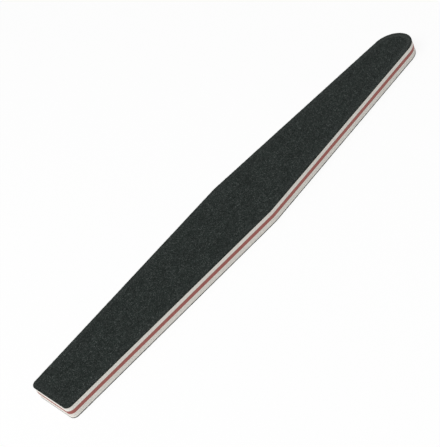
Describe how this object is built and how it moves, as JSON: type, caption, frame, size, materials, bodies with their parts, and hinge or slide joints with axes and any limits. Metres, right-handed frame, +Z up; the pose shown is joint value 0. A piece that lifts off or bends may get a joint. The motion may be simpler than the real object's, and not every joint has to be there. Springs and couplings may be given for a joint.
{
  "type": "emery board",
  "caption": "Cushioned double-sided emery board: black abrasive sheets over white foam on a stiff red core, square at one end, round at the other.",
  "frame": {"origin": "middle of the underside, half way along the length and across the width", "axes": "+X along the board towards the round tip, +Y across it, +Z up out of the top abrasive face"},
  "size_m": [0.178, 0.028, 0.0051],
  "materials": {
    "abrasive_grit": "matte",
    "resin_bond": "satin",
    "backing_paper": "matte",
    "adhesive_film": "satin",
    "foam": "matte",
    "core": "matte"
  },
  "bodies": {
    "root": {"lower_grit": "abrasive_grit", "lower_grit_bond": "resin_bond", "lower_backing_paper": "backing_paper", "lower_sheet_adhesive": "adhesive_film", "lower_foam_pad": "foam", "lower_core_adhesive": "adhesive_film", "core": "core", "upper_core_adhesive": "adhesive_film", "upper_foam_pad": "foam", "upper_sheet_adhesive": "adhesive_film", "upper_backing_paper": "backing_paper", "upper_grit_bond": "resin_bond", "upper_grit": "abrasive_grit"}
  },
  "joints": []
}
